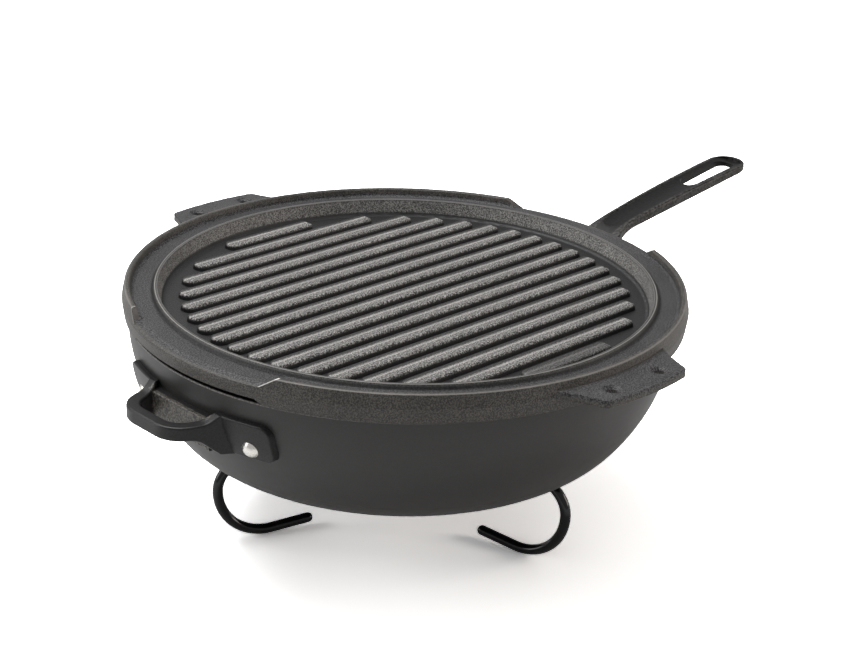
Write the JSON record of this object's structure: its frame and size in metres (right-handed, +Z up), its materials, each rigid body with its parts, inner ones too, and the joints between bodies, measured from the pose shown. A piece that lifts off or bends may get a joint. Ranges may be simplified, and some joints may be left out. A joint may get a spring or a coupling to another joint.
{
  "type": "reversible griddle",
  "caption": "Round cast griddle, ribbed on one face and smooth on the other, lying as a lid on a deep riveted pan on a bent-wire stand",
  "frame": {"origin": "point of the pan's flat base that lies on the griddle's axis, 2.5 mm from the pan's own axis", "axes": "+X along the long handle, +Y towards the far lug, +Z up"},
  "size_m": [0.4846, 0.3624, 0.1588],
  "materials": {
    "griddle_iron": "raw sand-cast skin, dark grey and grainy",
    "pan_coating": "thin cast wall with a smooth satin black coating",
    "handle_iron": "fine cast skin with a satin black coating",
    "rivet_steel": "bright domed heads",
    "stand_paint": "gloss black enamel on steel wire"
  },
  "bodies": {
    "stand": {"stand_ring": "stand_paint", "stand_leg_1": "stand_paint", "stand_leg_2": "stand_paint", "stand_leg_3": "stand_paint"},
    "pan": {"pan_bowl": "pan_coating", "long_handle": "handle_iron", "long_handle_rivets": "rivet_steel", "helper_handle": "handle_iron", "helper_handle_rivets": "rivet_steel"},
    "griddle": {"griddle_plate": "griddle_iron"}
  },
  "joints": [
    {"name": "pan_lift", "type": "slide", "parent": "stand", "child": "pan", "axis": [0, 0, 1], "range_m": [0, 0.06]},
    {"name": "griddle_lift", "type": "slide", "parent": "pan", "child": "griddle", "axis": [0, 0, 1], "range_m": [0, 0.1]}
  ]
}
